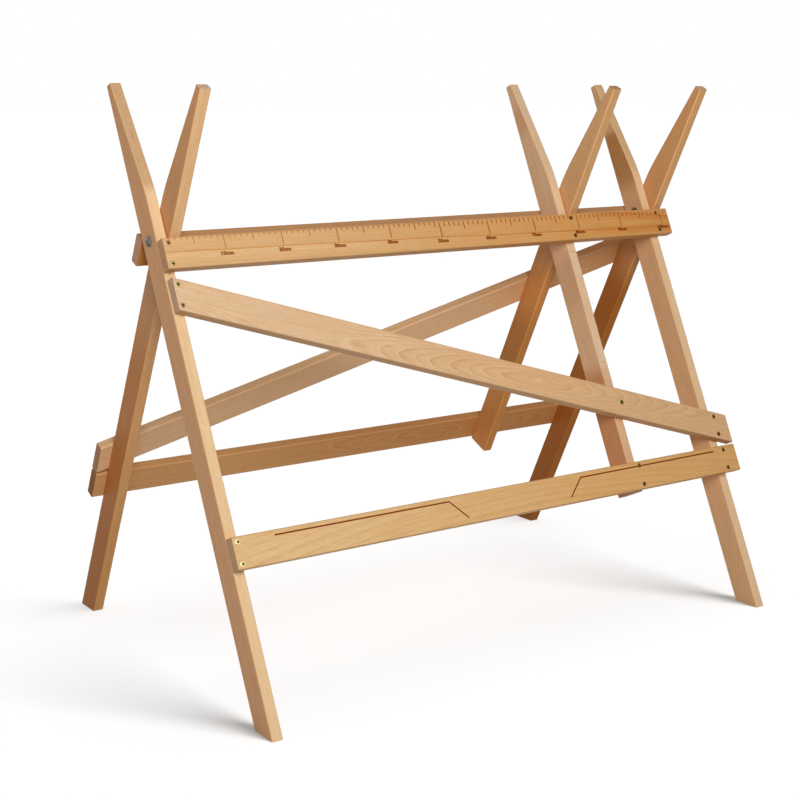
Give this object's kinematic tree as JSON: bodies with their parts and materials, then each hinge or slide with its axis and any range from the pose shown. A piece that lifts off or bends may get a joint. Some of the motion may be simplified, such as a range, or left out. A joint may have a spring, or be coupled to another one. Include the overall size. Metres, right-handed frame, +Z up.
{
  "type": "log sawhorse",
  "caption": "Folding wooden sawhorse: crossed tapered legs make a V cradle for a log, joined by rails, sloping braces and a scale rail, hinged on pivot bolts.",
  "frame": {"origin": "middle of the footprint, on the floor", "axes": "+X along the rails to the right as seen from the scale side, +Y away from the scale side, +Z up"},
  "size_m": [1.0304, 0.6818, 0.8899],
  "materials": {
    "beech": "planed and lightly oiled",
    "screw_zinc": "yellow zinc plated",
    "pivot_steel": "zinc plated"
  },
  "bodies": {
    "front_frame": {"front_brace": "beech", "front_brace_screw_left_1": "screw_zinc", "front_brace_screw_left_2": "screw_zinc", "front_brace_screw_middle_1": "screw_zinc", "front_brace_screw_right_1": "screw_zinc", "front_brace_screw_right_2": "screw_zinc", "front_leg_left": "beech", "front_leg_middle": "beech", "front_leg_right": "beech", "front_lower_rail": "beech", "front_lower_rail_screw_left_1": "screw_zinc", "front_lower_rail_screw_left_2": "screw_zinc", "front_lower_rail_screw_middle_1": "screw_zinc", "front_lower_rail_screw_middle_2": "screw_zinc", "front_lower_rail_screw_right_1": "screw_zinc", "front_lower_rail_screw_right_2": "screw_zinc", "left_lock_nut": "pivot_steel", "left_outer_washer": "pivot_steel", "left_pivot_bolt": "pivot_steel", "left_spacer_washer": "pivot_steel", "right_lock_nut": "pivot_steel", "right_outer_washer": "pivot_steel", "right_pivot_bolt": "pivot_steel", "right_spacer_washer": "pivot_steel", "ruler_rail": "beech", "ruler_rail_screw_left_1": "screw_zinc", "ruler_rail_screw_left_2": "screw_zinc", "ruler_rail_screw_middle_1": "screw_zinc", "ruler_rail_screw_middle_2": "screw_zinc", "ruler_rail_screw_right_1": "screw_zinc", "ruler_rail_screw_right_2": "screw_zinc"},
    "rear_frame": {"rear_brace": "beech", "rear_brace_screw_left_1": "screw_zinc", "rear_brace_screw_left_2": "screw_zinc", "rear_brace_screw_middle_1": "screw_zinc", "rear_brace_screw_right_1": "screw_zinc", "rear_brace_screw_right_2": "screw_zinc", "rear_leg_left": "beech", "rear_leg_middle": "beech", "rear_leg_right": "beech", "rear_lower_rail": "beech", "rear_lower_rail_screw_left_1": "screw_zinc", "rear_lower_rail_screw_left_2": "screw_zinc", "rear_lower_rail_screw_middle_1": "screw_zinc", "rear_lower_rail_screw_middle_2": "screw_zinc", "rear_lower_rail_screw_right_1": "screw_zinc", "rear_lower_rail_screw_right_2": "screw_zinc", "rear_top_rail": "beech", "rear_top_rail_screw_left_1": "screw_zinc", "rear_top_rail_screw_left_2": "screw_zinc", "rear_top_rail_screw_middle_1": "screw_zinc", "rear_top_rail_screw_middle_2": "screw_zinc", "rear_top_rail_screw_right_1": "screw_zinc", "rear_top_rail_screw_right_2": "screw_zinc"}
  },
  "joints": [
    {"name": "fold", "type": "hinge", "parent": "front_frame", "child": "rear_frame", "pos_m": [-0.0029, 0, 0.6625], "axis": [-1, 0, 0], "range_deg": [0, 51]}
  ]
}
